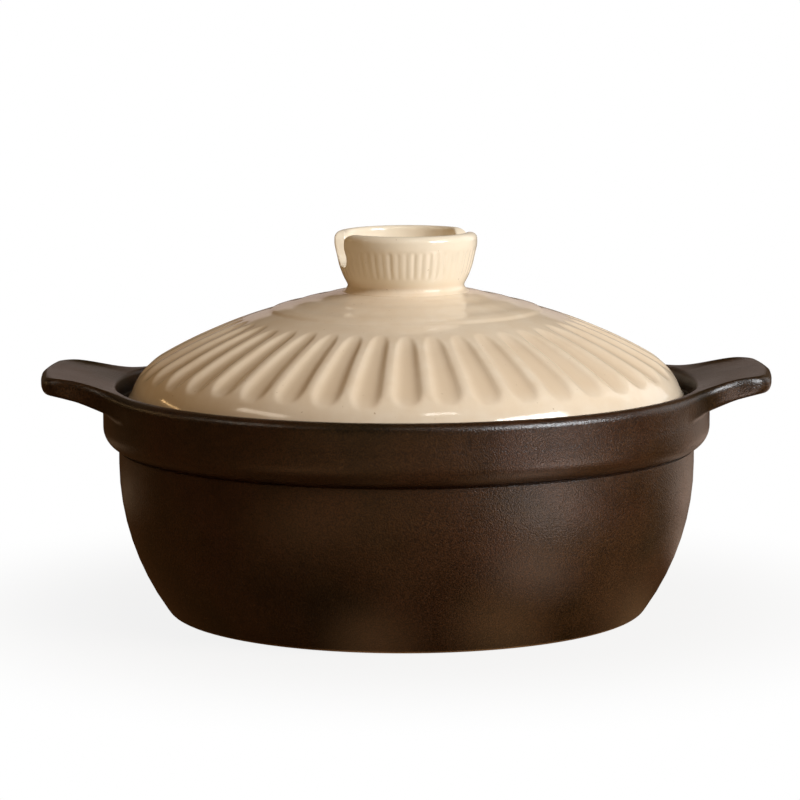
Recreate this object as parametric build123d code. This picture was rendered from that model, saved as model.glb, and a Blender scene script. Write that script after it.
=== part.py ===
from build123d import *
import math
import os

# Shallow two-handled stoneware pot with a fluted lid that lifts off, in millimetres.
# The origin is the centre of the base on the surface that the pot stands on,
# +Z points up and +X runs through the two handles.

# Pot bowl: belly, collar and rim
pot_belly_radius = 118.6
belly_flare = 20.8
rim_height = 94.5
pot_wall = 6.0
pot_floor = 7.0
base_rounding = 2.5
floor_rounding = 16.0
collar_overhang = 6.4
collar_height = 25.6
collar_curve_height = 10.1
collar_neck_height = 2.9
lip_rounding = 3.8
rim_wall = 5.4
crest_rounding = 1.2
seat_depth = 8.0
ledge_width = 12.1
ledge_thickness = 6.0
ledge_slope_height = 8.5

# Handles: flat lugs that leave the collar level with the rim and rise outwards
handle_length = 25.6
handle_tip_half_width = 34.6
handle_tip_bulge = 3.0
handle_tip_rounding = 10.0
handle_side_length = 1.5
handle_side_half_width = 38.5
handle_side_rounding = 24.0
handle_flare_angle = 28.0
handle_flare_overhang = 2.9
handle_flare_rounding = 6.0
handle_root_angle = 34.0
handle_rise_start = 14.5
handle_rise_length = 34.5
handle_root_rise = 0.5
handle_tip_rise = 5.9
handle_root_thickness = 9.4
handle_tip_thickness = 6.6
handle_edge_rounding = 3.0

# Lid dome: foot, edge, shoulder, fluted crown and the plateau in its middle
lid_seat_gap = 0.3
lid_edge_gap = 4.6
lid_wall = 5.5
lid_edge_rounding = 1.6
lid_foot_width = 7.0
lid_lip_inset = 1.7
lid_lip_height = 4.2
lid_shoulder_width = 13.0
lid_shoulder_height = 18.2
crown_curve_radius = 203.7
plateau_radius = 54.5
plateau_curve_radius = 170.3
plateau_step_width = 2.6
plateau_step_height = 1.3

# Flutes of the crown
flute_count = 42
flute_depth = 1.5
flute_land = 2.4
flute_inner_gap = 9.9
flute_outer_gap = 6.0

# Lid knob: a flared ring with two notches that face each other
knob_neck_radius = 23.9
knob_foot_flare = 1.5
knob_foot_height = 2.4
knob_lip_flare = 5.5
knob_lip_rounding = 3.4
knob_inner_rounding = 1.2
knob_height = 24.4
knob_wall = 4.8
knob_cup_floor = 5.2
knob_cup_rounding = 4.0
notch_angle = 15.0
notch_width = 14.6
notch_depth = 14.0
notch_bottom_rounding = 5.0
notch_corner_rounding = 4.0

# One overrun serves every cut that runs past a face
overrun = 5.0

# Places that follow from the sizes above
pot_base_radius = pot_belly_radius - belly_flare
collar_radius = pot_belly_radius + collar_overhang
collar_bottom_height = rim_height - collar_height
pot_belly_height = collar_bottom_height - collar_neck_height
rim_inner_radius = collar_radius - rim_wall
rim_crest_radius = collar_radius - lip_rounding
seat_height = rim_height - seat_depth
mouth_radius = rim_inner_radius - ledge_width
ledge_bottom_height = seat_height - ledge_thickness
handle_reach = collar_radius + handle_length
lid_foot_height = seat_height + lid_seat_gap
lid_edge_radius = rim_inner_radius - lid_edge_gap
lid_shoulder_radius = lid_edge_radius - lid_shoulder_width
plateau_foot_radius = plateau_radius + plateau_step_width
crown_centre_height = (
    lid_foot_height + lid_shoulder_height - math.sqrt(crown_curve_radius**2 - lid_shoulder_radius**2)
)
knob_foot_radius = knob_neck_radius + knob_foot_flare
knob_lip_radius = knob_neck_radius + knob_lip_flare


def crown_height(radius, curve_radius=crown_curve_radius):
    """Height of the crown's sphere, or of one about the same centre, at this distance from the axis."""
    return crown_centre_height + math.sqrt(curve_radius**2 - radius**2)


plateau_edge_height = crown_height(plateau_foot_radius) + plateau_step_height
plateau_centre_height = plateau_edge_height - math.sqrt(plateau_curve_radius**2 - plateau_radius**2)
knob_base_height = plateau_centre_height + math.sqrt(plateau_curve_radius**2 - knob_foot_radius**2)
knob_top_height = knob_base_height + knob_height


def turned(outline):
    """Solid of revolution about the pot's axis, from a closed outline of (radius, height) edges."""
    return revolve(Plane.XZ * make_face(outline), Axis.Z)


def softened(face, corner, radius):
    """The flat face with its corner nearest to this point rounded."""
    return fillet(face.vertices().sort_by_distance(corner)[0], radius)


def pot_outside():
    """Outer line of the pot, as edges from the middle of the base up to the crest of the rim."""
    base_edge = (pot_base_radius, 0)
    belly = (pot_belly_radius, pot_belly_height)
    collar_foot = (pot_belly_radius, collar_bottom_height)
    collar_low = (collar_radius, collar_bottom_height + collar_curve_height)
    collar_high = (collar_radius, rim_height - lip_rounding)
    crest = (rim_crest_radius, rim_height)
    return [
        Line((0, 0), base_edge),
        TangentArc(belly, base_edge, tangent=(0, -1)),
        Line(belly, collar_foot),
        TangentArc(collar_low, collar_foot, tangent=(0, -1)),
        Line(collar_low, collar_high),
        TangentArc(collar_high, crest, tangent=(0, 1)),
    ]


def make_pot_bowl():
    """The bowl with its collar, its rim and the ledge inside the rim that carries the lid."""
    belly_curve_radius = (belly_flare**2 + pot_belly_height**2) / (2 * belly_flare)
    inner_curve_radius = belly_curve_radius - pot_wall
    floor_reach = math.sqrt(inner_curve_radius**2 - (pot_belly_height - pot_floor) ** 2)
    floor_radius = pot_belly_radius - belly_curve_radius + floor_reach

    crest = (rim_crest_radius, rim_height)
    crest_inner = (rim_inner_radius, rim_height)
    seat_outer = (rim_inner_radius, seat_height)
    seat_inner = (mouth_radius, seat_height)
    ledge_lip = (mouth_radius, ledge_bottom_height)
    ledge_root = (pot_belly_radius - pot_wall, ledge_bottom_height - ledge_slope_height)
    inner_belly = (pot_belly_radius - pot_wall, pot_belly_height)
    floor_edge = (floor_radius, pot_floor)
    floor_middle = (0, pot_floor)

    section = make_face(
        pot_outside()
        + [
            Line(crest, crest_inner),
            Line(crest_inner, seat_outer),
            Line(seat_outer, seat_inner),
            Line(seat_inner, ledge_lip),
            Line(ledge_lip, ledge_root),
            Line(ledge_root, inner_belly),
            TangentArc(inner_belly, floor_edge, tangent=(0, -1)),
            Line(floor_edge, floor_middle),
            Line(floor_middle, (0, 0)),
        ]
    )
    section = softened(section, crest_inner, crest_rounding)
    section = softened(section, seat_inner, crest_rounding)
    section = softened(section, floor_edge, floor_rounding)
    section = softened(section, (pot_base_radius, 0), base_rounding)
    return revolve(Plane.XZ * section, Axis.Z)


def lug_line(root_x, root_height, tip_height):
    """A lug's top or under line, seen from the front: level, then two arcs that rise, then level."""
    rise_start = (collar_radius - handle_rise_start, root_height)
    rise_end = (rise_start[0] + handle_rise_length, tip_height)
    middle = (rise_start[0] + handle_rise_length / 2, (root_height + tip_height) / 2)
    lower_arc = TangentArc(rise_start, middle, tangent=(1, 0))
    upper_arc = TangentArc(middle, rise_end, tangent=lower_arc % 1)
    level_root = Line((root_x, root_height), rise_start)
    level_tip = Line(rise_end, (handle_reach, tip_height))
    return [level_root, lower_arc, upper_arc, level_tip]


def make_handle(side):
    """One lug on the +X side (side = 1) or the -X side (side = -1), cut to the pot's outside."""
    tip_corner_x = handle_reach - handle_tip_bulge
    side_x = collar_radius + handle_side_length
    flare_radius = collar_radius + handle_flare_overhang
    flare_x = flare_radius * math.cos(math.radians(handle_flare_angle))
    flare_y = flare_radius * math.sin(math.radians(handle_flare_angle))
    root_x = rim_inner_radius * math.cos(math.radians(handle_root_angle))
    root_y = rim_inner_radius * math.sin(math.radians(handle_root_angle))
    rounded_corners = [
        ((tip_corner_x, handle_tip_half_width), handle_tip_rounding),
        ((side_x, handle_side_half_width), handle_side_rounding),
        ((flare_x, flare_y), handle_flare_rounding),
    ]
    corners = [corner for corner, rounding in rounded_corners]
    half_outline = Polyline(*corners, (root_x, root_y))
    tip = ThreePointArc(corners[0], (handle_reach, 0), (tip_corner_x, -handle_tip_half_width))
    inner_end = Line((root_x, root_y), (root_x, -root_y))
    plan = make_face([half_outline, mirror(half_outline, Plane.XZ), tip, inner_end])
    for (corner_x, corner_y), rounding in rounded_corners:
        plan = softened(plan, (corner_x, corner_y), rounding)
        plan = softened(plan, (corner_x, -corner_y), rounding)

    root_top = rim_height + handle_root_rise
    tip_top = rim_height + handle_tip_rise
    top_line = lug_line(root_x, root_top, tip_top)
    under_line = lug_line(root_x, root_top - handle_root_thickness, tip_top - handle_tip_thickness)
    ends = [Line(top_line[0] @ 0, under_line[0] @ 0), Line(top_line[-1] @ 1, under_line[-1] @ 1)]
    profile = make_face(top_line + under_line + ends)
    lug = extrude(plan, tip_top + overrun)
    lug &= extrude(Plane.XZ * profile, root_y + overrun, both=True)
    inner_face = lug.faces().sort_by(Axis.X)[0]
    kept_sharp = inner_face.edges() + lug.edges().filter_by(Axis.Z) + lug.edges().filter_by(Axis.Y)
    lug = fillet([edge for edge in lug.edges() if edge not in kept_sharp], handle_edge_rounding)

    # The pot's outside, carried straight up from the crest of the rim
    crest = (rim_crest_radius, rim_height)
    crest_above = (rim_crest_radius, tip_top + overrun)
    axis_above = (0, tip_top + overrun)
    above_rim = [Line(crest, crest_above), Line(crest_above, axis_above), Line(axis_above, (0, 0))]
    lug -= turned(pot_outside() + above_rim)
    return lug if side > 0 else lug.mirror(Plane.YZ)


def flute_cutter():
    """Scoop in the +X direction whose underside follows the crown and widens outwards."""
    inner_angle = math.asin((plateau_foot_radius + flute_inner_gap) / crown_curve_radius)
    outer_angle = math.asin((lid_edge_radius - flute_outer_gap) / crown_curve_radius)
    # Along the flute and, for each place, the share of the full depth reached there
    place_shares = (0.0, 0.14, 0.45, 0.80, 0.93, 1.0)
    depth_shares = (-0.35, 0.45, 0.95, 1.0, 0.55, -0.6)
    sections = []
    for place_share, depth_share in zip(place_shares, depth_shares):
        angle = inner_angle + (outer_angle - inner_angle) * place_share
        pitch = 2 * math.pi * crown_curve_radius * math.sin(angle) / flute_count
        half_width = (pitch - flute_land) / 2
        scoop_radius = (half_width**2 + flute_depth**2) / (2 * flute_depth)
        distance = crown_curve_radius - flute_depth * depth_share + scoop_radius
        centre = Vector(distance * math.sin(angle), 0, crown_centre_height + distance * math.cos(angle))
        along = Vector(math.cos(angle), 0, -math.sin(angle))
        plane = Plane(origin=centre, x_dir=(0, 1, 0), z_dir=along)
        sections.append(plane * Circle(scoop_radius))
    return loft(sections)


def make_lid_dome():
    """The lid's shell: flat foot ring, rounded edge, fluted crown and raised plateau."""
    shell_radius = crown_curve_radius - lid_wall
    foot_outer_radius = lid_edge_radius - lid_edge_rounding
    foot_inner_radius = foot_outer_radius - lid_foot_width
    inner_shoulder_radius = lid_shoulder_radius - lid_wall / 2

    foot_inner = (foot_inner_radius, lid_foot_height)
    foot_outer = (foot_outer_radius, lid_foot_height)
    edge = (lid_edge_radius, lid_foot_height + lid_edge_rounding)
    lip = (lid_edge_radius - lid_lip_inset, lid_foot_height + lid_lip_height)
    shoulder = (lid_shoulder_radius, crown_height(lid_shoulder_radius))
    step_foot = (plateau_foot_radius, crown_height(plateau_foot_radius))
    plateau_edge = (plateau_radius, plateau_edge_height)
    seat_edge = (knob_foot_radius, knob_base_height)
    inner_top = (0, crown_height(0, shell_radius))
    inner_shoulder = (inner_shoulder_radius, crown_height(inner_shoulder_radius, shell_radius))
    crown_slope = (shoulder[1] - crown_centre_height, -lid_shoulder_radius)
    inner_skirt = (foot_inner_radius, lid_foot_height + lid_lip_height)
    inner_slope = (inner_shoulder[1] - crown_centre_height, -inner_shoulder_radius)

    section = make_face(
        [
            Line(foot_inner, foot_outer),
            TangentArc(foot_outer, edge, tangent=(1, 0)),
            Line(edge, lip),
            TangentArc(shoulder, lip, tangent=crown_slope),
            RadiusArc(step_foot, shoulder, crown_curve_radius),
            Line(step_foot, plateau_edge),
            RadiusArc(seat_edge, plateau_edge, plateau_curve_radius),
            Line(seat_edge, (0, knob_base_height)),
            Line((0, knob_base_height), inner_top),
            RadiusArc(inner_top, inner_shoulder, shell_radius),
            TangentArc(inner_shoulder, inner_skirt, tangent=inner_slope),
            Line(inner_skirt, foot_inner),
        ]
    )
    dome = revolve(Plane.XZ * section, Axis.Z)
    cutter = flute_cutter()
    flutes = [Rot(Z=(turn + 0.5) * 360 / flute_count) * cutter for turn in range(flute_count)]
    return dome - flutes


def make_lid_knob():
    """The ring that stands on the dome, open at the top, with its two notches."""
    foot_edge = (knob_foot_radius, knob_base_height)
    neck = (knob_neck_radius, knob_base_height + knob_foot_height)
    lip = (knob_lip_radius, knob_top_height - knob_lip_rounding)
    crest = (knob_lip_radius - knob_lip_rounding, knob_top_height)
    crest_inner = (knob_lip_radius - knob_wall, knob_top_height)
    cup_edge = (knob_neck_radius - knob_wall, knob_base_height + knob_cup_floor)
    section = make_face(
        [
            Line((0, knob_base_height), foot_edge),
            TangentArc(neck, foot_edge, tangent=(0, -1)),
            TangentArc(lip, neck, tangent=(0, -1)),
            TangentArc(lip, crest, tangent=(0, 1)),
            Line(crest, crest_inner),
            Line(crest_inner, cup_edge),
            Line(cup_edge, (0, knob_base_height + knob_cup_floor)),
            Line((0, knob_base_height + knob_cup_floor), (0, knob_base_height)),
        ]
    )
    section = softened(section, crest_inner, knob_inner_rounding)
    section = softened(section, cup_edge, knob_cup_rounding)
    ring = revolve(Plane.XZ * section, Axis.Z)

    # One bar with a round-bottomed section, flared at the top, cuts both notches
    half_width = notch_width / 2
    flare_half_width = half_width + notch_corner_rounding
    flare_height = knob_top_height - notch_corner_rounding
    notch_floor = knob_top_height - notch_depth
    floor_half_width = half_width - notch_bottom_rounding
    wall_foot = notch_floor + notch_bottom_rounding
    clear_height = knob_top_height + overrun
    one_side = [
        TangentArc((flare_half_width, knob_top_height), (half_width, flare_height), tangent=(-1, 0)),
        Line((half_width, flare_height), (half_width, wall_foot)),
        TangentArc((half_width, wall_foot), (floor_half_width, notch_floor), tangent=(0, -1)),
        Line((flare_half_width, knob_top_height), (flare_half_width, clear_height)),
    ]
    other_side = [mirror(edge, Plane.YZ) for edge in one_side]
    notch_bottom = Line((-floor_half_width, notch_floor), (floor_half_width, notch_floor))
    notch_top = Line((-flare_half_width, clear_height), (flare_half_width, clear_height))
    slot = make_face(one_side + other_side + [notch_bottom, notch_top])
    bar = extrude(Plane.YZ * slot, knob_lip_radius + overrun, both=True)
    return ring - Rot(Z=notch_angle) * bar


pieces = {
    "pot_bowl": make_pot_bowl(),
    "handle_right": make_handle(1),
    "handle_left": make_handle(-1),
    "lid_dome": make_lid_dome(),
    "lid_knob": make_lid_knob(),
}

os.makedirs("parts", exist_ok=True)
for name, piece in pieces.items():
    export_step(piece, f"parts/{name}.step")
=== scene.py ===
"""Glazed stoneware sand pot with a fluted lid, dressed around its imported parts.

Sizes of the pot and its lid are in millimetres, measured from the middle of the base. Those of the
studio are in metres, and so are the meshes.
"""

import logging
import math
from dataclasses import dataclass
from enum import Enum
from typing import Any

import bpy
import numpy as np
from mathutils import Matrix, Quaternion, Vector


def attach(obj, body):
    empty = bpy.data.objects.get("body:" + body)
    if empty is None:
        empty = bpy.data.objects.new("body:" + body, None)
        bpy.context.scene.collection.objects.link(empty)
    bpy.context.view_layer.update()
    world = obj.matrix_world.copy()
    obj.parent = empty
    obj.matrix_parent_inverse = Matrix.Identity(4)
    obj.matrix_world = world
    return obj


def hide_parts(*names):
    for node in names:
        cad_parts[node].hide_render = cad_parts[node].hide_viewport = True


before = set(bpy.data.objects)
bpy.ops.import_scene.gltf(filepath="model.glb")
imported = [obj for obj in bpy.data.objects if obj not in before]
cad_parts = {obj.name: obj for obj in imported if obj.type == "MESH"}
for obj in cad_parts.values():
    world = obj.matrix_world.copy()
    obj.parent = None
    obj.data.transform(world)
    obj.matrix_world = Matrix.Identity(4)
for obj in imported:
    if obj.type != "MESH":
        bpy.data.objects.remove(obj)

log = logging.getLogger("sand_pot")

MM = 0.001
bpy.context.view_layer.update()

# Makes a Mix node mix colours
RGBA = {"data_type": "RGBA"}

Colour = tuple[float, float, float, float]
Span = tuple[float, float]
Point = tuple[float, float, float]
# An outline's corner: its two coordinates, and how far from it the rounding begins
Corner = tuple[float, float, float]


class Body(Enum):
    """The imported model's bodies that a piece can ride on."""

    POT = "pot"
    LID = "lid"


class Slot(Enum):
    """The record's material slots."""

    IRON = "pot_iron_glaze"
    CREAM = "lid_cream_glaze"


# Shapes

def smooth_rise(values: np.ndarray, start: float, end: float) -> np.ndarray:
    """Goes from 0 at start to 1 at end with a level tangent at both.

    Args:
        values: Places to evaluate.
        start: Place where the rise begins.
        end: Place where the rise is complete.

    Returns:
        The share of the rise reached at each place.
    """
    share = np.clip((values - start) / (end - start), 0.0, 1.0)
    return share * share * (3.0 - 2.0 * share)


def rounded_sections(
    corners: list[tuple[Any, Any, Any]], arc_steps: int, run_steps: list[int]
) -> np.ndarray:
    """Walks one polyline per column and rounds its inner corners.

    Args:
        corners: (radius, height, cut) of each corner. Each is a number or one value per column. The cut is
            how far from the corner its rounding begins.
        arc_steps: Number of steps along each rounding.
        run_steps: Number of steps along each straight run between roundings.

    Returns:
        Array of columns x points x 2.
    """
    columns = max(np.size(value) for corner in corners for value in corner)
    place = np.stack(
        [np.stack([np.broadcast_to(c[0], columns), np.broadcast_to(c[1], columns)], -1) for c in corners], 1
    ).astype(float)
    cut = np.stack([np.broadcast_to(c[2], columns) for c in corners], 1).astype(float)
    cut[:, 0] = 0.0
    cut[:, -1] = 0.0
    step = place[:, 1:] - place[:, :-1]
    length = np.maximum(np.linalg.norm(step, axis=-1), 1e-9)
    heading = step / length[..., None]
    room = np.minimum(1.0, 0.98 * length / np.maximum(cut[:, 1:] + cut[:, :-1], 1e-9))
    cut[:, 1:-1] *= np.minimum(room[:, :-1], room[:, 1:])

    points = [place[:, 0]]
    for k in range(1, len(corners)):
        reach = cut[:, k, None]
        run_end = place[:, k] - reach * heading[:, k - 1]
        run_start = points[-1]
        for i in range(1, run_steps[k - 1] + 1):
            points.append(run_start + (run_end - run_start) * i / run_steps[k - 1])
        if k == len(corners) - 1:
            break
        turn = np.arccos(np.clip((heading[:, k - 1] * heading[:, k]).sum(-1), -1.0, 1.0))
        bend = np.where(turn > 1e-4, 4 / 3 * np.tan(turn / 4) / np.tan(np.maximum(turn, 1e-4) / 2), 2 / 3)
        pull = reach * (1.0 - bend[:, None])
        first = place[:, k] - pull * heading[:, k - 1]
        second = place[:, k] + pull * heading[:, k]
        arc_end = place[:, k] + reach * heading[:, k]
        for i in range(1, arc_steps + 1):
            t = i / arc_steps
            u = 1.0 - t
            points.append(u**3 * run_end + 3 * u * u * t * first + 3 * u * t * t * second + t**3 * arc_end)
    return np.stack(points, 1)


def turned_mesh(name: str, azimuths: np.ndarray, sections: np.ndarray) -> bpy.types.Object:
    """Closed skin from one section per azimuth. Each section begins and ends on the axis.

    Args:
        name: Name of the object and its mesh.
        azimuths: Angle of each column about the vertical axis, in radians.
        sections: Columns x points x (radius, height), in millimetres.

    Returns:
        The object, linked to the scene.
    """
    columns, count = sections.shape[:2]
    inner = sections[:, 1:-1]
    radius, height = inner[..., 0], inner[..., 1]
    ring = np.stack(
        [radius * np.cos(azimuths)[:, None], radius * np.sin(azimuths)[:, None], height], -1
    ).reshape(-1, 3)
    poles = np.array([[0, 0, sections[0, 0, 1]], [0, 0, sections[0, -1, 1]]])
    verts = np.concatenate([ring, poles]) * MM

    per_column = count - 2
    here = np.arange(columns)[:, None] * per_column
    beside = np.roll(np.arange(columns), -1)[:, None] * per_column
    up = np.arange(per_column - 1)[None, :]
    quads = np.stack([here + up, beside + up, beside + up + 1, here + up + 1], -1).reshape(-1, 4)
    first_pole = columns * per_column
    start = [(first_pole, int(b), int(a)) for a, b in zip(here[:, 0], beside[:, 0])]
    last = per_column - 1
    end = [(first_pole + 1, int(a) + last, int(b) + last) for a, b in zip(here[:, 0], beside[:, 0])]

    mesh = bpy.data.meshes.new(name)
    mesh.from_pydata(verts.tolist(), [], quads.tolist() + start + end)
    mesh.update()
    mesh.shade_smooth()
    obj = bpy.data.objects.new(name, mesh)
    bpy.context.scene.collection.objects.link(obj)
    return obj


def keep_only_modifier_result(obj: bpy.types.Object) -> None:
    """Replaces the object's mesh by what its modifiers make of it.

    Args:
        obj: The object whose modifiers are applied.
    """
    graph = bpy.context.evaluated_depsgraph_get()
    made = bpy.data.meshes.new_from_object(obj.evaluated_get(graph))
    obj.modifiers.clear()
    obj.data = made


# Finishes

def linear(hex_colour: str) -> Colour:
    """Turns an sRGB hex colour such as #a0522d to linear RGBA.

    Args:
        hex_colour: Six hex digits after a hash sign.

    Returns:
        Linear red, green, blue and full alpha.
    """
    channels = [int(hex_colour[i:i + 2], 16) / 255 for i in (1, 3, 5)]
    rgb = [c / 12.92 if c <= 0.04045 else ((c + 0.055) / 1.055) ** 2.4 for c in channels]
    return (rgb[0], rgb[1], rgb[2], 1.0)


def per_metre(size_mm: float) -> float:
    """Noise scale whose features are about this many millimetres across, in object space."""
    return 1.0 / (size_mm * MM)


def add_node(
    tree: bpy.types.NodeTree, kind: str, settings: dict[str, Any] | None = None, **inputs: Any
) -> Any:
    """Adds one node with its settings, values and links.

    Args:
        tree: The tree that gets the node.
        kind: Blender's type name of the node, without ShaderNode.
        settings: Properties of the node itself.
        **inputs: Socket name with underscores for spaces, or i0, i1 for a place in the list, mapped to a
            value or to an output socket to link.

    Returns:
        The new node.
    """
    node = tree.nodes.new("ShaderNode" + kind)
    for key, value in (settings or {}).items():
        setattr(node, key, value)
    for key, value in inputs.items():
        by_place = key[0] == "i" and key[1:].isdigit()
        socket = node.inputs[int(key[1:]) if by_place else key.replace("_", " ")]
        if isinstance(value, bpy.types.NodeSocket):
            tree.links.new(value, socket)
        else:
            socket.default_value = value
    return node


def set_ramp(node: Any, stops: list[tuple[float, Colour]]) -> None:
    """Gives a colour ramp its stops.

    Args:
        node: The ramp's node.
        stops: (place, linear RGBA) in rising order.
    """
    elements = node.color_ramp.elements
    while len(elements) < len(stops):
        elements.new(0.5)
    for element, (place, colour) in zip(elements, stops):
        element.position = place
        element.color = colour


def new_material(name: str) -> tuple[bpy.types.Material, bpy.types.NodeTree]:
    """Makes an empty node material.

    Args:
        name: Name of the material.

    Returns:
        The material and its node tree.
    """
    material = bpy.data.materials.new(name)
    material.use_nodes = True
    material.node_tree.nodes.clear()
    return material, material.node_tree


@dataclass(frozen=True)
class IronGlaze:
    """Stoneware iron glaze, dipped and fired to a satin dark brown.

    The eye sees a dark body with a soft, broken sheen, warmer where the iron blooms and darker where the
    glaze lies thick, and bare tan clay in a hair line at the foot.
    """

    body: str = "#311e0c"
    bloom: str = "#331d0d"
    thick_glaze_and_painted_light: str = "#251909"
    fleck: str = "#5a422a"
    bare_edge: str = "#a07c57"
    roughness_low: float = 0.285
    roughness_high: float = 0.34
    ior: float = 1.6
    bloom_size: float = 46.0
    cloud_size: float = 17.0
    fleck_size: float = 1.1
    grain_size: float = 0.62
    grain_depth: float = 0.15
    hand_size: float = 30.0
    hand_depth: float = 0.35
    foot_height: float = 0.9
    foot_ragged: float = 0.8
    foot_fade: Span = (0.3, 0.8)
    cloud_dark: Colour = (0.78, 0.78, 0.78, 1)
    cloud_light: Colour = (1.2, 1.18, 1.16, 1)
    grain_dark: Colour = (0.45, 0.45, 0.45, 1)
    grain_light: Colour = (1.65, 1.63, 1.56, 1)
    fleck_strength: float = 0.5

    def material(self) -> bpy.types.Material:
        """Builds the glaze's nodes.

        Returns:
            The glaze's material.
        """
        material, tree = new_material("stoneware iron glaze, satin")
        place = add_node(tree, "TexCoord").outputs["Object"]
        bloom = add_node(tree, "TexNoise", Vector=place, Scale=per_metre(self.bloom_size), Detail=2.0)
        cloud = add_node(tree, "TexNoise", Vector=place,
                         Scale=per_metre(self.cloud_size), Detail=4.0, Roughness=0.6)
        fleck = add_node(tree, "TexNoise", Vector=place, Scale=per_metre(self.fleck_size), Detail=2.0)
        warm = add_node(tree, "ValToRGB", Fac=bloom.outputs["Fac"])
        set_ramp(warm, [(0.36, linear(self.thick_glaze_and_painted_light)), (0.5, linear(self.body)), (0.66, linear(self.bloom))])
        shade = add_node(tree, "ValToRGB", Fac=cloud.outputs["Fac"])
        set_ramp(shade, [(0.3, self.cloud_dark), (0.7, self.cloud_light)])
        clouded = add_node(tree, "Mix", RGBA | {"blend_type": "MULTIPLY"},
                           i0=1.0, i6=warm.outputs["Color"], i7=shade.outputs["Color"])
        # The fine grain is under half a millimetre across, drawn at about 0.6 so that it shows
        grain = add_node(tree, "TexNoise", Vector=place, Scale=per_metre(self.grain_size), Detail=1.0)
        speckle = add_node(tree, "ValToRGB", Fac=grain.outputs["Fac"])
        set_ramp(speckle, [(0.35, self.grain_dark), (0.65, self.grain_light)])
        grained = add_node(tree, "Mix", RGBA | {"blend_type": "MULTIPLY"},
                           i0=1.0, i6=clouded.outputs[2], i7=speckle.outputs["Color"])
        # Iron flecks are under half a millimetre across, drawn at about one so that they show
        specks = add_node(tree, "MapRange", i0=fleck.outputs["Fac"], i1=0.62, i2=0.8,
                          i3=0.0, i4=self.fleck_strength)
        flecked = add_node(tree, "Mix", RGBA, i0=specks.outputs[0],
                           i6=grained.outputs[2], i7=linear(self.fleck))

        # The foot is wiped before firing, which leaves an uneven hair line of clay
        split = add_node(tree, "SeparateXYZ", i0=place)
        ragged = add_node(tree, "Math", {"operation": "MULTIPLY_ADD"}, i0=cloud.outputs["Fac"],
                          i1=self.foot_ragged * MM, i2=split.outputs["Z"])
        fade_start, fade_end = self.foot_fade
        edge = add_node(tree, "MapRange", i0=ragged.outputs[0],
                        i1=(self.foot_height + fade_start) * MM, i2=(self.foot_height + fade_end) * MM,
                        i3=1.0, i4=0.0)
        colour = add_node(tree, "Mix", RGBA, i0=edge.outputs[0],
                          i6=flecked.outputs[2], i7=linear(self.bare_edge))

        rough = add_node(tree, "MapRange", i0=cloud.outputs["Fac"], i1=0.3, i2=0.7,
                         i3=self.roughness_low, i4=self.roughness_high)
        hand = add_node(tree, "TexNoise", Vector=place, Scale=per_metre(self.hand_size), Detail=1.0)
        slow = add_node(tree, "Bump", Height=hand.outputs["Fac"], Strength=1.0,
                        Distance=self.hand_depth * MM)
        fine = add_node(tree, "Bump", Height=grain.outputs["Fac"], Strength=1.0,
                        Distance=self.grain_depth * MM, Normal=slow.outputs["Normal"])
        shader = add_node(tree, "BsdfPrincipled", Base_Color=colour.outputs[2],
                          Roughness=rough.outputs[0], IOR=self.ior, Normal=fine.outputs["Normal"])
        add_node(tree, "OutputMaterial", Surface=shader.outputs[0])
        return material


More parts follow.
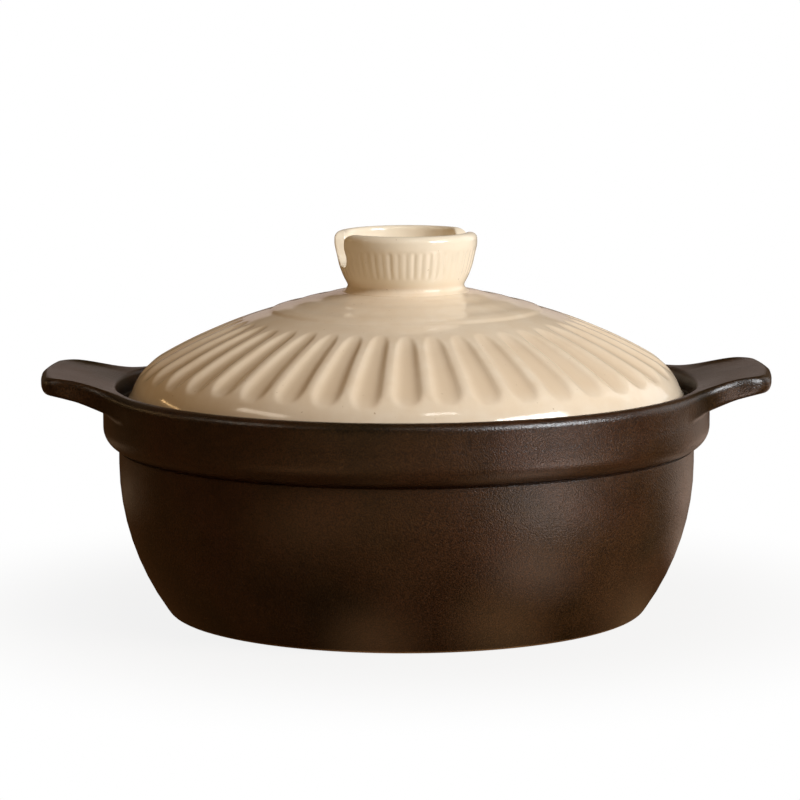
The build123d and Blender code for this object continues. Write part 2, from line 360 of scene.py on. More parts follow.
@dataclass(frozen=True)
class CreamGlaze:
    """Feldspathic cream glaze over stoneware, poured and fired glossy.

    The eye sees a clear gloss over a warm cream that is a little deeper where it pools in the flutes, with
    faint mottling and a few iron specks. The knob is drawn paler, as painted light for the brighter light it
    catches.
    """

    body: str = "#e8d4b9"
    pale: str = "#eddcc4"
    pooled: str = "#e3ccae"
    thick_glaze_and_painted_light: str = "#f5e9d3"
    # Painted light: above this height the knob is drawn paler, standing in for the brighter light it catches
    painted_light_above: float = 133.5
    painted_light_fade: float = 4.5
    painted_light_share: float = 0.85
    speck: str = "#a8875c"
    roughness: float = 0.1
    ior: float = 1.5
    mottle_size: float = 9.0
    speck_size: float = 1.6
    speck_strength: float = 0.55
    orange_peel_size: float = 5.0
    orange_peel_depth: float = 0.03

    def material(self) -> bpy.types.Material:
        """Builds the glaze's nodes.

        Returns:
            The glaze's material.
        """
        material, tree = new_material("feldspathic cream glaze, gloss")
        place = add_node(tree, "TexCoord").outputs["Object"]
        mottle = add_node(tree, "TexNoise", Vector=place,
                          Scale=per_metre(self.mottle_size), Detail=4.0, Roughness=0.55)
        tone = add_node(tree, "ValToRGB", Fac=mottle.outputs["Fac"])
        set_ramp(tone, [(0.35, linear(self.body)), (0.7, linear(self.pale))])
        # Painted light: blends the knob towards the paler cream above its foot
        height = add_node(tree, "SeparateXYZ", i0=place)
        share = add_node(tree, "MapRange", i0=height.outputs["Z"], i1=self.painted_light_above * MM,
                         i2=(self.painted_light_above + self.painted_light_fade) * MM, i3=0.0, i4=self.painted_light_share)
        knob_painted_light = add_node(tree, "Mix", RGBA, i0=share.outputs[0],
                        i6=tone.outputs["Color"], i7=linear(self.thick_glaze_and_painted_light))
        pool = add_node(tree, "Attribute", {"attribute_name": "pooling"})
        pooled = add_node(tree, "Mix", RGBA, i0=pool.outputs["Fac"],
                          i6=knob_painted_light.outputs[2], i7=linear(self.pooled))
        # Iron specks are a few tenths of a millimetre across, drawn at about one so that they show
        speck = add_node(tree, "TexNoise", Vector=place, Scale=per_metre(self.speck_size), Detail=1.0)
        dots = add_node(tree, "MapRange", i0=speck.outputs["Fac"], i1=0.76, i2=0.82,
                        i3=0.0, i4=self.speck_strength)
        colour = add_node(tree, "Mix", RGBA, i0=dots.outputs[0],
                          i6=pooled.outputs[2], i7=linear(self.speck))
        peel = add_node(tree, "TexNoise", Vector=place, Scale=per_metre(self.orange_peel_size), Detail=2.0)
        bump = add_node(tree, "Bump", Height=peel.outputs["Fac"], Strength=1.0,
                        Distance=self.orange_peel_depth * MM)
        shader = add_node(tree, "BsdfPrincipled", Base_Color=colour.outputs[2],
                          Roughness=self.roughness, IOR=self.ior, Normal=bump.outputs["Normal"])
        add_node(tree, "OutputMaterial", Surface=shader.outputs[0])
        return material


@dataclass(frozen=True)
class BareClay:
    """Unglazed stoneware clay, wiped clean before firing.

    The eye sees a dry, matt tan body with sandy grog in it.
    """

    body: str = "#b08a62"
    grog: str = "#8d6a47"
    roughness: float = 0.85
    ior: float = 1.5
    grog_size: float = 1.4
    grog_depth: float = 0.15

    def material(self) -> bpy.types.Material:
        """Builds the clay's nodes.

        Returns:
            The clay's material.
        """
        material, tree = new_material("bare stoneware clay")
        place = add_node(tree, "TexCoord").outputs["Object"]
        grog = add_node(tree, "TexNoise", Vector=place, Scale=per_metre(self.grog_size), Detail=4.0)
        tone = add_node(tree, "ValToRGB", Fac=grog.outputs["Fac"])
        set_ramp(tone, [(0.4, linear(self.grog)), (0.62, linear(self.body))])
        bump = add_node(tree, "Bump", Height=grog.outputs["Fac"], Strength=1.0,
                        Distance=self.grog_depth * MM)
        shader = add_node(tree, "BsdfPrincipled", Base_Color=tone.outputs["Color"],
                          Roughness=self.roughness, IOR=self.ior, Normal=bump.outputs["Normal"])
        add_node(tree, "OutputMaterial", Surface=shader.outputs[0])
        return material


# The pot: bowl, collar and its two lugs in one skin, as they are under one coat of glaze

@dataclass
class PotBody:
    """The bowl with its collar, rim, seat for the lid and two lug handles."""

    base_radius: float = 97.8
    belly_radius: float = 118.6
    belly_corner_height: float = 29.7
    belly_top_height: float = 64.6
    groove_outline: tuple[Corner, ...] = (
        (118.6, 68.5, 0.08), (117.9, 68.7, 0.08), (118.3, 69.3, 0.2), (120.4, 70.0, 0.6),
    )
    collar_radius: float = 124.95
    collar_foot_height: float = 73.0
    collar_top_height: float = 82.0
    rim_height: float = 94.5
    crest_inner_radius: float = 119.6
    seat_height: float = 86.5
    seat_depth: float = 6.0
    mouth_radius: float = 107.5
    inner_radius: float = 112.6
    inner_top_height: float = 72.0
    inner_foot_height: float = 34.0
    floor_height: float = 7.0
    floor_radius: float = 95.3
    lug_reach: float = 150.4
    lug_top_rise: float = 6.6
    lug_top_ramp: Span = (108.0, 143.0)
    lug_under_height: float = 85.3
    lug_under_rise: float = 8.4
    lug_under_ramp: Span = (112.0, 146.0)
    lug_dish: float = 1.2
    lug_dish_start: float = 1.3
    lug_dish_share: float = 0.45
    lug_blend: float = 6.0
    lug_full: float = 20.0
    lug_rounding: float = 2.2
    lug_top_rounding: float = 3.9
    lip_rounding: float = 3.8
    # Where there is no lug the lip drops by this much below, and leans in at its three corners
    lip_drop: float = 1.6
    lip_lean: tuple[float, float, float] = (0.1, 0.15, 0.25)
    lug_top_outline: tuple[Corner, ...] = (
        (149.6, 14.6, 8.0), (147.0, 32.8, 9.0), (133.0, 34.8, 9.0), (121.5, 41.8, 9.0), (112.0, 56.8, 7.0),
        (104.0, 69.4, 0.0),
    )
    lug_under_outline: tuple[Corner, ...] = (
        (149.4, 15.6, 8.0), (146.6, 33.9, 9.0), (132.0, 35.1, 8.0), (122.6, 39.0, 7.0), (114.2, 51.2, 6.0),
        (107.0, 64.6, 0.0),
    )
    plain_step: float = 2.5
    lug_step: float = 0.4
    lug_half_angle: float = 35.0
    bare_below: float = 0.02

    def azimuths(self) -> np.ndarray:
        """Spreads the mesh's columns round the pot, denser across the two lugs.

        Returns:
            Column angles in radians.
        """
        lug = np.arange(-self.lug_half_angle, self.lug_half_angle, self.lug_step)
        plain = np.arange(self.lug_half_angle, 180 - self.lug_half_angle, self.plain_step)
        half = np.concatenate([lug, plain])
        return np.radians(np.concatenate([half, half + 180.0]))

    def lug_edge(self, azimuths: np.ndarray, corners: tuple[Corner, ...]) -> np.ndarray:
        """Distance from the axis to one of the lug's outlines in plan.

        Args:
            azimuths: Column angles in radians.
            corners: (x, y, cut) of the outline's corners, from the tip to the collar.

        Returns:
            The outline's radius at each angle, in millimetres.
        """
        tip = (self.lug_reach, 0.0, 0.0)
        outline = rounded_sections([tip, *corners], arc_steps=14, run_steps=[6] * len(corners))[0]
        angle = np.arctan2(outline[:, 1], outline[:, 0])
        reach = np.hypot(outline[:, 0], outline[:, 1])
        folded = np.abs((azimuths + math.pi / 2) % math.pi - math.pi / 2)
        out = np.interp(folded, angle, reach, right=self.collar_radius) - self.collar_radius
        out = np.where(folded > angle[-1], 0.0, np.maximum(out, 0.0))
        return self.collar_radius + out

    def lug_top(self, reach_x: np.ndarray) -> np.ndarray:
        """Height of a lug's top face at this distance along X."""
        return self.rim_height + self.lug_top_rise * smooth_rise(reach_x, *self.lug_top_ramp)

    def lug_under(self, reach_x: np.ndarray) -> np.ndarray:
        """Height of a lug's underside at this distance along X."""
        return self.lug_under_height + self.lug_under_rise * smooth_rise(reach_x, *self.lug_under_ramp)

    def sections(self, azimuths: np.ndarray) -> np.ndarray:
        """Outline of the pot's section at each column, from under the base round to the floor inside.

        Args:
            azimuths: Column angles in radians.

        Returns:
            Columns x points x (radius, height).
        """
        edge = self.lug_edge(azimuths, self.lug_top_outline)
        low_edge = self.lug_edge(azimuths, self.lug_under_outline)
        out = edge - self.collar_radius
        along = np.abs(np.cos(azimuths))
        grown = smooth_rise(out, 0.0, self.lug_blend)
        full = smooth_rise(out, 0.0, self.lug_full)
        middle = self.crest_inner_radius + self.lug_dish_start + self.lug_dish_share * out
        # 1 where there is no lug, 0 on the lug
        plain = 1 - grown
        root_lean, under_lean, top_lean = self.lip_lean
        root_height = self.lug_under(self.collar_radius * along) - self.lip_drop * plain
        dish_height = self.lug_top(middle * along) - self.lug_dish * full
        lip_cut = self.lip_rounding + (self.lug_top_rounding - self.lip_rounding) * grown
        # Each corner's third number is its cut. They run up the outside, over the lip and down inside.
        corners = [
            (0.0, 0.0, 0.0),
            (self.base_radius, 0.0, 2.3),
            (self.belly_radius, self.belly_corner_height, 33.4),
            (self.belly_radius, self.belly_top_height, 1.6),
            *self.groove_outline,
            (self.collar_radius, self.collar_foot_height, 4.8),
            (self.collar_radius, self.collar_top_height, 3.0),
            (self.collar_radius - root_lean * plain, root_height, 3.0),
            (low_edge - under_lean * plain, self.lug_under(low_edge * along), self.lug_rounding),
            (edge - top_lean * plain, self.lug_top(edge * along), lip_cut),
            (middle, dish_height, 0.3 + 6.0 * full),
            (self.crest_inner_radius, self.rim_height, 1.8),
            (self.crest_inner_radius, self.seat_height, 0.8),
            (self.mouth_radius, self.seat_height, 1.2),
            (self.mouth_radius, self.seat_height - self.seat_depth, 1.6),
            (self.inner_radius, self.inner_top_height, 3.0),
            (self.inner_radius, self.inner_foot_height, 23.0),
            (self.floor_radius, self.floor_height, 8.6),
            (0.0, self.floor_height, 0.0),
        ]
        run_steps = [10, 1, 6, 1, 1, 1, 1, 1, 2, 2, 3, 3, 4, 2, 3, 3, 3, 2, 3, 3, 8]
        return rounded_sections(corners, arc_steps=8, run_steps=run_steps)

    def build(self, glaze: bpy.types.Material, clay: bpy.types.Material) -> bpy.types.Object:
        """Makes the pot's skin and dresses it.

        Args:
            glaze: Material of the glazed skin.
            clay: Material of the bare underside.

        Returns:
            The pot's object, riding on the pot.
        """
        azimuths = self.azimuths()
        pot = turned_mesh("glazed_pot", azimuths, self.sections(azimuths))
        pot.data.materials.append(glaze)
        pot.data.materials.append(clay)
        heights = np.array([polygon.center.z for polygon in pot.data.polygons])
        pot.data.polygons.foreach_set("material_index", (heights < self.bare_below * MM).astype(np.int32))
        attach(pot, Body.POT.value)
        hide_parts("pot_bowl", "handle_right", "handle_left")
        return pot


# The lid: fluted dome and ring knob

@dataclass
class LidDome:
    """The lid's shell with its plateau, flutes, smooth band and foot."""

    crown_radius: float = 203.7
    crown_centre: float = -71.33
    plateau_radius: float = 170.3
    plateau_centre: float = -35.8
    step_inner: float = 54.2
    step_outer: float = 57.0
    ring_depth: float = 0.36
    # Shallow turning rings: the share of ring_depth that the face rises by, and where
    turning_rings: tuple[tuple[float, Span], ...] = (
        (-1.0, (30.0, 36.0)), (0.5, (37.0, 41.0)), (-0.5, (42.0, 46.0)), (1.0, (47.0, 52.5)),
    )
    shoulder_radius: float = 102.0
    skirt_curve_radius: float = 25.05
    skirt_centre_radius: float = 89.46
    skirt_centre_height: float = 83.3
    skirt_end_radius: float = 113.2
    edge_radius: float = 115.0
    edge_height: float = 88.3
    edge_draft: float = 0.4
    foot_height: float = 86.8
    foot_inner_radius: float = 106.4
    foot_inner_height: float = 94.6
    haunch_radius: float = 99.25
    haunch_height: float = 100.25
    hollow_radius: float = 53.2
    hollow_rounding: float = 49.0
    wall: float = 5.5
    bare_above_foot: float = 0.05
    flute_count: int = 42
    columns_per_flute: int = 14
    # Rows of the mesh across the top face as (start, end, steps), dense where the face turns
    row_zones: tuple[tuple[float, float, int], ...] = (
        (0.0, 28.0, 5), (28.0, 54.0, 26), (54.0, 58.0, 10), (58.0, 64.0, 4), (64.0, 78.0, 19),
        (78.0, 99.0, 12), (99.0, 111.0, 20),
    )
    last_zone_rows: int = 7
    flute_depth: float = 1.9
    flute_land: float = 2.8
    flute_squareness: float = 2.9
    flute_start: float = 65.5
    flute_end: float = 109.6
    start_length: float = 10.5
    end_length: float = 8.2
    end_squareness: float = 2.6
    end_softness: float = 0.16
    # The flutes are shallower near the plateau, where they crowd together
    crowded_share: float = 0.65
    crowded_zone: Span = (58.0, 100.0)
    # Hand-made flutes differ by up to these: a share of the depth, and millimetres at the ends
    depth_spread: float = 0.09
    start_spread: float = 0.9
    end_spread: float = 0.6
    seed: int = 42

    def top_height(self, radius: np.ndarray) -> np.ndarray:
        """Height of the lid's upper face before the flutes are cut.

        Args:
            radius: Distances from the axis, in millimetres.

        Returns:
            The face's height at each distance.
        """
        crown = self.crown_centre + np.sqrt(self.crown_radius**2 - radius**2)
        skirt_reach = np.clip(radius - self.skirt_centre_radius, 0.0, self.skirt_curve_radius * 0.999)
        skirt = self.skirt_centre_height + np.sqrt(self.skirt_curve_radius**2 - skirt_reach**2)
        outer = np.where(radius > self.shoulder_radius, skirt, crown)
        plateau = self.plateau_centre + np.sqrt(self.plateau_radius**2 - radius**2)
        for share, where in self.turning_rings:
            plateau += share * self.ring_depth * smooth_rise(radius, *where)
        drop = smooth_rise(radius, self.step_inner, self.step_outer)
        return plateau * (1 - drop) + outer * drop

    def flute_cut(self, azimuths: np.ndarray, radius: np.ndarray) -> np.ndarray:
        """Depth of the flutes below the crown.

        Args:
            azimuths: Column angles in radians.
            radius: Distances from the axis, in millimetres.

        Returns:
            Columns x radii depths in millimetres.
        """
        rng = np.random.default_rng(self.seed)
        turn = azimuths / (2 * math.pi) * self.flute_count
        number = np.floor(turn).astype(int) % self.flute_count
        depth_change = rng.uniform(-self.depth_spread, self.depth_spread, self.flute_count)
        end_change = rng.uniform(-self.end_spread, self.end_spread, self.flute_count)
        start_change = rng.uniform(-self.start_spread, self.start_spread, self.flute_count)
        depth = self.flute_depth * (1 + depth_change)[number]
        end = self.flute_end + end_change[number]
        start = self.flute_start + start_change[number]
        across = 2 * (turn - np.floor(turn)) - 1
        pitch = 2 * math.pi * radius[None, :] / self.flute_count
        x = across[:, None] * pitch / (pitch - self.flute_land)
        past_end = np.clip((radius[None, :] - (end[:, None] - self.end_length)) / self.end_length, 0, None)
        before_start = np.clip(
            (start[:, None] + self.start_length - radius[None, :]) / self.start_length, 0, None
        )
        inside = 1 - np.abs(x) ** self.flute_squareness - past_end**self.end_squareness - before_start**2
        inside = np.clip(inside, 0, None)
        spread = smooth_rise(radius, *self.crowded_zone)[None, :]
        shallowing = spread * (1 - self.crowded_share) + self.crowded_share
        return depth[:, None] * shallowing * inside**2 / (inside + self.end_softness)

    def build(self, glaze: bpy.types.Material, clay: bpy.types.Material) -> bpy.types.Object:
        """Makes the dome and dresses it.

        Args:
            glaze: Material of the glazed faces.
            clay: Material of the bare foot ring.

        Returns:
            The dome's object, riding on the lid.
        """
        columns = self.flute_count * self.columns_per_flute
        azimuths = np.arange(columns) * 2 * math.pi / columns
        zones = [np.linspace(start, end, steps + 1)[:-1] for start, end, steps in self.row_zones]
        zones.append(np.linspace(self.row_zones[-1][1], self.skirt_end_radius, self.last_zone_rows))
        radius = np.concatenate(zones)
        height = self.top_height(radius)
        slope = np.gradient(height, radius)
        lean = 1 / np.sqrt(1 + slope**2)
        cut = self.flute_cut(azimuths, radius)
        top = np.stack([radius[None, :] + cut * slope * lean, height[None, :] - cut * lean], -1)

        inner_sphere = self.crown_radius - self.wall
        inner_top = self.crown_centre + inner_sphere
        skirt_foot = float(height[-1])
        under = rounded_sections(
            [
                (self.skirt_end_radius, skirt_foot, 0.0),
                (self.edge_radius, self.edge_height, 0.9),
                (self.edge_radius - self.edge_draft, self.foot_height, 1.0),
                (self.foot_inner_radius, self.foot_height, 0.9),
                (self.foot_inner_radius, self.foot_inner_height, 4.0),
                (self.haunch_radius, self.haunch_height, 4.0),
                (self.hollow_radius, inner_top, self.hollow_rounding),
                (0.0, inner_top, 0.0),
            ],
            arc_steps=6,
            run_steps=[2, 1, 4, 3, 2, 3, 4],
        )
        under = np.broadcast_to(under[:, 1:], (columns, under.shape[1] - 1, 2))
        dome = turned_mesh("fluted_dome", azimuths, np.concatenate([top, under], 1))
        # turned_mesh expects the walk to run outwards underneath, so the dome's faces are turned over
        dome.data.flip_normals()
        pooling = np.zeros((columns, top.shape[1] + under.shape[1]))
        pooling[:, :top.shape[1]] = np.clip(cut / self.flute_depth, 0, 1)
        layer = dome.data.attributes.new("pooling", "FLOAT", "POINT")
        layer.data.foreach_set("value", np.concatenate([pooling[:, 1:-1].ravel(), [0.0, 0.0]]))

        dome.data.materials.append(glaze)
        dome.data.materials.append(clay)
        centres = np.array([tuple(polygon.center) for polygon in dome.data.polygons])
        bare = centres[:, 2] < (self.foot_height + self.bare_above_foot) * MM
        dome.data.polygons.foreach_set("material_index", bare.astype(np.int32))
        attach(dome, Body.LID.value)
        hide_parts("lid_dome")
        return dome


@dataclass
class RingKnob:
    """The ring on top of the lid, open above, with two notches that face each other."""

    base_height: float = 132.1
    foot_radius: float = 25.6
    foot_spread: float = 1.6
    foot_step_height: float = 133.1
    foot_step: float = 0.6
    neck_radius: float = 23.9
    neck_cove: float = 0.3
    neck_height: float = 134.7
    # (radius, height, cut) of the outside's corners above the neck, up to the lip
    side_outline: tuple[Corner, ...] = ((26.8, 140.3, 4.5), (28.9, 149.2, 4.0), (29.35, 151.6, 1.2))
    lip_radius: float = 29.4
    top_height: float = 157.0
    cup_mouth_radius: float = 24.9
    cup_wall_radius: float = 24.0
    cup_wall_height: float = 146.5
    cup_floor_radius: float = 19.8
    cup_floor: float = 137.8
    columns: int = 180
    notch_angle: float = 15.0
    notch_width: float = 14.6
    notch_depth: float = 14.0
    notch_corner: float = 4.0
    notch_floor_corner: float = 5.0
    bar_reach: float = 40.0
    bar_overrun: float = 6.0
    rib_count: int = 54
    rib_depth: float = 0.24
    rib_sharpness: float = 1.5
    # The ribs fade in and out between these: the radius that counts as outside, their foot and their top
    rib_outside: Span = (25.2, 26.2)
    rib_foot: Span = (138.2, 141.5)
    rib_top: Span = (149.0, 151.0)
    rib_strength: Span = (0.45, 1.15)
    voxel: float = 0.4
    smoothing: float = 0.5
    smoothing_rounds: int = 14
    seed: int = 7

    def ring(self) -> bpy.types.Object:
        """Turns the ring, before its notches are cut.

        Returns:
            The ring's object.
        """
        section = rounded_sections(
            [
                (0.0, self.base_height, 0.0),
                (self.foot_radius + self.foot_spread, self.base_height, 0.2),
                (self.foot_radius - self.foot_step, self.foot_step_height, 0.9),
                (self.neck_radius - self.neck_cove, self.neck_height, 1.0),
                *self.side_outline,
                (self.lip_radius, self.top_height, 3.2),
                (self.cup_mouth_radius, self.top_height, 1.6),
                (self.cup_wall_radius, self.cup_wall_height, 4.0),
                (self.cup_floor_radius, self.cup_floor, 3.0),
                (0.0, self.cup_floor, 0.0),
            ],
            arc_steps=8,
            run_steps=[6, 1, 1, 1, 2, 1, 1, 2, 3, 3, 6],
        )
        azimuths = np.arange(self.columns) * 2 * math.pi / self.columns
        sections = np.broadcast_to(section, (self.columns,) + section.shape[1:])
        return turned_mesh("ring_knob", azimuths, sections)

    def notch_bar(self) -> bpy.types.Object:
        """Makes the bar that cuts both notches: round below, flared at the top.

        Returns:
            The bar's object, turned to the notches' angle.
        """
        half = self.notch_width / 2
        floor = self.top_height - self.notch_depth
        flare = self.notch_corner
        flare_end = half + 3 * flare
        side = rounded_sections(
            [
                (0.0, floor, 0.0),
                (half, floor, self.notch_floor_corner),
                (half, self.top_height, flare),
                (flare_end, self.top_height, 0.0),
            ],
            arc_steps=10,
            run_steps=[1, 3, 1],
        )[0]
        # The flare turns outwards at the top of the ring and then clears it
        outline = np.concatenate([side, [[flare_end, self.top_height + self.bar_overrun]]])
        closed = np.concatenate([outline, (outline * [-1, 1])[::-1]])
        closed = closed[np.append(True, np.linalg.norm(np.diff(closed, axis=0), axis=1) > 1e-6)]
        count = len(closed)
        verts = [(x, y, z) for x in (-self.bar_reach, self.bar_reach) for y, z in closed]
        faces: list[tuple[int, ...]] = [tuple(range(count))[::-1], tuple(range(count, 2 * count))]
        for i in range(count):
            j = (i + 1) % count
            faces.append((i, j, count + j, count + i))
        mesh = bpy.data.meshes.new("notch_bar")
        mesh.from_pydata([tuple(c * MM for c in v) for v in verts], [], faces)
        mesh.update()
        bar = bpy.data.objects.new("notch_bar", mesh)
        bpy.context.scene.collection.objects.link(bar)
        bar.rotation_euler = (0, 0, math.radians(self.notch_angle))
        return bar

    def build(self, glaze: bpy.types.Material) -> bpy.types.Object:
        """Makes the knob and dresses it.

        Args:
            glaze: Material of the knob.

        Returns:
            The knob's object, riding on the lid.
        """
        knob = self.ring()
        bar = self.notch_bar()
        cut = knob.modifiers.new("notches", "BOOLEAN")
        cut.operation = "DIFFERENCE"
        cut.object = bar
        cut.solver = "EXACT"
        skin = knob.modifiers.new("even skin", "REMESH")
        skin.mode = "VOXEL"
        skin.voxel_size = self.voxel * MM
        soften = knob.modifiers.new("glaze rounding", "SMOOTH")
        soften.factor = self.smoothing
        soften.iterations = self.smoothing_rounds
        bpy.context.view_layer.update()
        keep_only_modifier_result(knob)
        bpy.data.objects.remove(bar)

        points = np.empty(len(knob.data.vertices) * 3)
        knob.data.vertices.foreach_get("co", points)
        points = points.reshape(-1, 3) / MM
        radius = np.hypot(points[:, 0], points[:, 1])
        angle = np.arctan2(points[:, 1], points[:, 0])
        outside = smooth_rise(radius, *self.rib_outside)
        zone = smooth_rise(points[:, 2], *self.rib_foot) * (1 - smooth_rise(points[:, 2], *self.rib_top))
        ribs = 0.5 - 0.5 * np.cos(angle * self.rib_count)
        number = np.floor(angle / (2 * math.pi) * self.rib_count).astype(int) % self.rib_count
        strength = np.random.default_rng(self.seed).uniform(*self.rib_strength, self.rib_count)[number]
        shift = -self.rib_depth * strength * ribs**self.rib_sharpness * zone * outside
        points[:, 0] += shift * np.cos(angle)
        points[:, 1] += shift * np.sin(angle)
        knob.data.vertices.foreach_set("co", (points * MM).ravel())
        knob.data.update()
        knob.data.shade_smooth()
        knob.data.materials.clear()
        knob.data.materials.append(glaze)
        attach(knob, Body.LID.value)
        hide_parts("lid_knob")
        return knob


# The studio

LAMP_AIM = (0.0, 0.0, 0.1)


@dataclass(frozen=True)
class Lamp:
    """One softbox: where it stands, what it faces, its size, power and colour."""

    name: str
    place: Point
    aim: Point
    width: float
    height: float
    power: float
    colour: str


@dataclass(frozen=True)
class PaintedSheenPool:
    """A painted pool of light on the mirror-only table card, which paints a sheen in the glaze: its middle,
    how far it reaches, its strength and colour.
    """

    middle: tuple[float, float]
    reach: float
    strength: float
    colour: str


@dataclass(frozen=True)
class PaintedReflectionWall:
    """A glowing sheet that only mirror rays meet, a painted reflection of a studio wall in the glaze."""

    name: str
    place: Point
    aim: Point
    width: float
    height: float
    colour: str


def face_towards(obj: bpy.types.Object, place: Vector, aim: Vector) -> None:
    """Puts an object somewhere with its -Z side towards a point.

    Args:
        obj: The object to place.
        place: Where it goes, in metres.
        aim: The point that it faces, in metres.
    """
    obj.location = place
    obj.rotation_mode = "QUATERNION"
    obj.rotation_quaternion = (aim - place).to_track_quat("-Z", "Y")


def flat_sheet(name: str, width: float, height: float) -> bpy.types.Object:
    """Makes a level sheet of one face about the origin.

    Args:
        name: Name of the object and its mesh.
        width: Its size along X, in metres.
        height: Its size along Y, in metres.

    Returns:
        The sheet, linked to the scene.
    """
    x, y = width / 2, height / 2
    mesh = bpy.data.meshes.new(name)
    mesh.from_pydata([(-x, -y, 0), (x, -y, 0), (x, y, 0), (-x, y, 0)], [], [(0, 1, 2, 3)])
    obj = bpy.data.objects.new(name, mesh)
    bpy.context.scene.collection.objects.link(obj)
    return obj


def only_mirrored(obj: bpy.types.Object) -> None:
    """Hides an object from all but mirror rays, so that it gives no light and casts no shadow.

    Args:
        obj: The object to hide.
    """
    obj.visible_camera = False
    obj.visible_diffuse = False
    obj.visible_shadow = False


@dataclass
class Studio:
    """Camera, floor, lamps, and surroundings, whose walls and table card are painted reflections in the
    glaze.
    """

    camera_place: Point = (-0.0026, -1.55, 0.300)
    camera_aim: Point = (-0.0026, 0.0, 0.08687)
    camera_roll: float = -0.2
    focal_length: float = 170.46
    sensor: float = 36.0
    view_depth: float = 20.0
    floor_size: float = 8.0
    floor_colour: str = "#b5aa9c"
    floor_glow: float = 0.87
    glow_rise: Span = (0.10, 0.25)
    surround_colour: str = "#ffcb7e"
    surround_low: float = 0.365
    surround_high: float = 0.07
    surround_rise: float = 0.9
    # A dark card that only mirror rays meet paints a dark table into the glaze's reflections
    table_height: float = 0.0002
    table_size: float = 4.4
    painted_table_reflection_colour: str = "#4a2f18"
    # Painted sheen: each pool glows on the table card, and the glaze mirrors it as a sheen patch
    painted_sheen_pools: tuple[PaintedSheenPool, ...] = (
        PaintedSheenPool((0.26, -0.24), 0.14, 6.3, "#ffe4d8"),
        PaintedSheenPool((0.095, -0.135), 0.055, 1.3, "#ffdcc2"),
        PaintedSheenPool((0.54, -0.33), 0.19, 2.4, "#ffdcc6"),
        PaintedSheenPool((0.24, 0.16), 0.10, 1.0, "#ffe2d0"),
        PaintedSheenPool((0.32, 0.30), 0.2, 1.0, "#ffe2d0"),
        PaintedSheenPool((0.55, 0.46), 0.26, 1.3, "#ffe2d0"),
        PaintedSheenPool((0.16, 0.09), 0.07, 0.7, "#ffe2cc"),
        PaintedSheenPool((0.19, -0.03), 0.12, 0.12, "#ffbe92"),
        PaintedSheenPool((0.10, -0.04), 0.05, 0.2, "#ffc890"),
        PaintedSheenPool((0.045, -0.105), 0.035, 0.5, "#ffc890"),
        PaintedSheenPool((-0.015, -0.105), 0.03, 0.4, "#ffbe84"),
        PaintedSheenPool((-0.14, -0.25), 0.13, 0.7, "#ffbe82"),
        PaintedSheenPool((-0.26, 0.2), 0.1, 0.4, "#ffd9b0"),
        PaintedSheenPool((0.0, -0.7), 0.5, 0.8, "#ffc48e"),
        PaintedSheenPool((0.0, -0.18), 0.06, 0.18, "#ffb67a"),
        PaintedSheenPool((0.80, -0.60), 0.30, 0.25, "#ffd2b0"),
    )

    lamps: tuple[Lamp, ...] = (
        Lamp("window_right", (1.19, -0.775, 0.82), LAMP_AIM, 0.8, 0.55, 28.4, "#eef3f8"),
        Lamp("window_front", (0.30, -0.94, 1.36), LAMP_AIM, 0.30, 0.10, 0.9, "#fffaf2"),
        Lamp("window_side", (-1.20, -0.45, 1.05), LAMP_AIM, 0.65, 0.16, 1.6, "#fff0dc"),
        Lamp("window_far_left", (-1.37, 0.50, 0.50), LAMP_AIM, 0.75, 0.035, 0.6, "#ffcf90"),
    )
    # Painted reflections: glowing sheets that only mirror rays meet paint studio walls and a ceiling into
    # the glaze
    painted_reflection_walls: tuple[PaintedReflectionWall, ...] = (
        PaintedReflectionWall("painted_reflection_back", (-0.2, 2.2, 1.1), (-0.2, 0.0, 1.1), 4.0, 2.4, "#544534"),
        PaintedReflectionWall("painted_reflection_back_low", (0.0, 2.1, 0.38), (0.0, 0.0, 0.3), 1.0, 0.5, "#c0afa7"),
        PaintedReflectionWall("painted_reflection_left", (-2.2, 0.0, 1.1), (0.0, 0.0, 1.1), 4.6, 2.4, "#120c08"),
        PaintedReflectionWall("painted_reflection_front", (0.0, -2.4, 1.1), (0.0, 0.0, 1.1), 4.6, 2.4, "#241a12"),
        PaintedReflectionWall("painted_reflection_right", (2.2, -0.6, 1.1), (0.0, -0.6, 1.1), 3.0, 2.4, "#2c221a"),
        PaintedReflectionWall("painted_reflection_ceiling", (0.0, 0.0, 2.2), (0.0, 0.0, 0.0), 4.8, 4.8, "#241c16"),
    )

    def camera(self) -> None:
        """Stands the camera at the photograph's angle."""
        data = bpy.data.cameras.new("camera")
        data.lens = self.focal_length
        data.sensor_width = self.sensor
        data.clip_end = self.view_depth
        camera = bpy.data.objects.new("camera", data)
        bpy.context.scene.collection.objects.link(camera)
        face_towards(camera, Vector(self.camera_place), Vector(self.camera_aim))
        roll = Quaternion((0, 0, 1), math.radians(self.camera_roll))
        camera.rotation_quaternion = camera.rotation_quaternion @ roll
        bpy.context.scene.camera = camera

    def add_lamp(self, lamp: Lamp) -> None:
        """Adds one softbox.

        Args:
            lamp: What the softbox is and where it stands.
        """
        data = bpy.data.lights.new(lamp.name, "AREA")
        data.shape = "RECTANGLE"
        data.size = lamp.width
        data.size_y = lamp.height
        data.energy = lamp.power
        data.color = linear(lamp.colour)[:3]
        obj = bpy.data.objects.new(lamp.name, data)
        bpy.context.scene.collection.objects.link(obj)
        face_towards(obj, Vector(lamp.place), Vector(lamp.aim))

    def add_painted_reflection_wall(self, wall: PaintedReflectionWall) -> None:
        """Adds one glowing sheet that only mirror rays meet, as a painted reflection of a wall.

        Args:
            wall: What the painted reflection is and where it stands.
        """
        obj = flat_sheet(wall.name, wall.width, wall.height)
        face_towards(obj, Vector(wall.place), Vector(wall.aim))
        material, tree = new_material(wall.name)
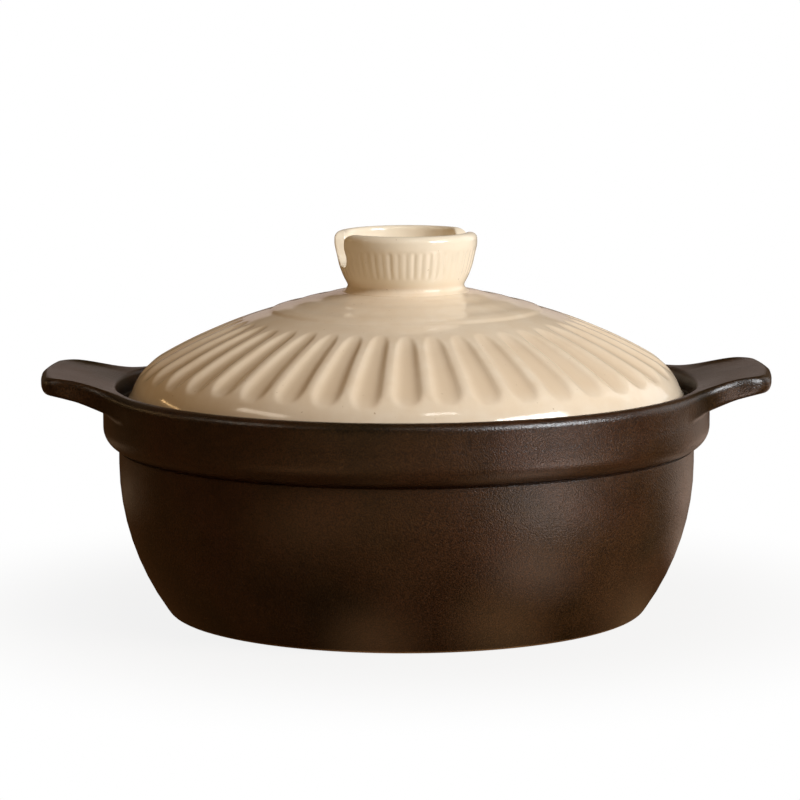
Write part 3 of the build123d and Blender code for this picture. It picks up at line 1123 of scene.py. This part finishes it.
        # The sheet glows in its colour, as a painted reflection
        paint = add_node(tree, "Emission", Color=linear(wall.colour), Strength=1.0)
        add_node(tree, "OutputMaterial", Surface=paint.outputs[0])
        obj.data.materials.append(material)
        only_mirrored(obj)

    def table(self) -> None:
        """A dark card just above the floor that only mirror rays meet, with painted pools of light that
        paint sheen and reflections in the glaze.
        """
        obj = flat_sheet("painted_reflection_card", self.table_size, self.table_size)
        obj.location = (0.0, 0.0, self.table_height)
        material, tree = new_material("painted reflection card")
        place = add_node(tree, "TexCoord").outputs["Object"]
        colour: Any = linear(self.painted_table_reflection_colour)
        # Each pool adds painted light to the card, which is seen only in the glaze's reflections
        for pool in self.painted_sheen_pools:
            distance = add_node(tree, "VectorMath", {"operation": "DISTANCE"}, i0=place,
                                i1=(pool.middle[0], pool.middle[1], 0.0))
            share = add_node(tree, "MapRange", {"interpolation_type": "SMOOTHSTEP"},
                             i0=distance.outputs["Value"], i1=0.0, i2=pool.reach, i3=pool.strength, i4=0.0)
            painted_pool_light = add_node(tree, "Mix", RGBA | {"blend_type": "ADD", "clamp_factor": False},
                           i0=share.outputs[0], i6=colour, i7=linear(pool.colour))
            colour = painted_pool_light.outputs[2]
        paint = add_node(tree, "Emission", Color=colour, Strength=1.0)
        add_node(tree, "OutputMaterial", Surface=paint.outputs[0])
        obj.data.materials.append(material)
        only_mirrored(obj)

    def floor(self) -> None:
        """A pale floor that keeps the shadow near the pot and runs out to plain white."""
        obj = flat_sheet("floor", self.floor_size, self.floor_size)
        material, tree = new_material("white paper sweep")
        place = add_node(tree, "TexCoord").outputs["Object"]
        distance = add_node(tree, "VectorMath", {"operation": "LENGTH"}, i0=place)
        far = add_node(tree, "MapRange", {"interpolation_type": "SMOOTHSTEP"},
                       i0=distance.outputs["Value"], i1=self.glow_rise[0], i2=self.glow_rise[1],
                       i3=self.floor_glow, i4=1.0)
        paths = add_node(tree, "LightPath")
        seen = self.seen_directly(tree, paths)
        glow_share = add_node(tree, "Math", {"operation": "MULTIPLY"}, i0=far.outputs[0], i1=seen)
        matt = add_node(tree, "BsdfDiffuse", Color=linear(self.floor_colour))
        lift = add_node(tree, "Emission", Color=(1, 1, 1, 1), Strength=1.0)
        mixed = add_node(tree, "MixShader", i0=glow_share.outputs[0], i1=matt.outputs[0], i2=lift.outputs[0])
        add_node(tree, "OutputMaterial", Surface=mixed.outputs[0])
        obj.data.materials.append(material)

    def seen_directly(self, tree: bpy.types.NodeTree, paths: Any) -> Any:
        """Socket that is 1 for camera, glossy and transmission rays.

        Args:
            tree: The node tree.
            paths: Its light path node.

        Returns:
            The output socket of the largest of the three.
        """
        mirror = add_node(tree, "Math", {"operation": "MAXIMUM"}, i0=paths.outputs["Is Glossy Ray"],
                          i1=paths.outputs["Is Transmission Ray"])
        seen = add_node(tree, "Math", {"operation": "MAXIMUM"}, i0=paths.outputs["Is Camera Ray"],
                        i1=mirror.outputs[0])
        return seen.outputs[0]

    def world(self) -> None:
        """White where it is seen, a soft warm light where it lights, stronger near the horizon."""
        world = bpy.data.worlds.new("studio")
        world.use_nodes = True
        tree = world.node_tree
        tree.nodes.clear()
        paths = add_node(tree, "LightPath")
        towards = add_node(tree, "TexCoord").outputs["Generated"]
        height = add_node(tree, "SeparateXYZ", i0=towards)
        level = add_node(tree, "MapRange", i0=height.outputs["Z"], i1=0.0,
                         i2=self.surround_rise, i3=self.surround_low, i4=self.surround_high)
        soft = add_node(tree, "Background", Color=linear(self.surround_colour), Strength=level.outputs[0])
        white = add_node(tree, "Background", Color=(1, 1, 1, 1), Strength=1.0)
        mixed = add_node(tree, "MixShader", i0=self.seen_directly(tree, paths),
                         i1=soft.outputs[0], i2=white.outputs[0])
        add_node(tree, "OutputWorld", Surface=mixed.outputs[0])
        bpy.context.scene.world = world

    def build(self) -> None:
        """Sets up everything around the pot."""
        self.camera()
        self.floor()
        self.table()
        self.world()
        for lamp in self.lamps:
            self.add_lamp(lamp)
        for wall in self.painted_reflection_walls:
            self.add_painted_reflection_wall(wall)
        bpy.context.scene.view_settings.view_transform = "Standard"


def main() -> None:
    """Builds the studio, the pot and the lid, in that order."""
    logging.basicConfig(level=logging.INFO, format="%(message)s")
    Studio().build()
    log.info("studio set up")
    iron = IronGlaze().material()
    cream = CreamGlaze().material()
    clay = BareClay().material()
    for piece in (PotBody().build(iron, clay), LidDome().build(cream, clay), RingKnob().build(cream)):
        log.info("%s: %d vertices", piece.name, len(piece.data.vertices))


if __name__ == "__main__":
    main()
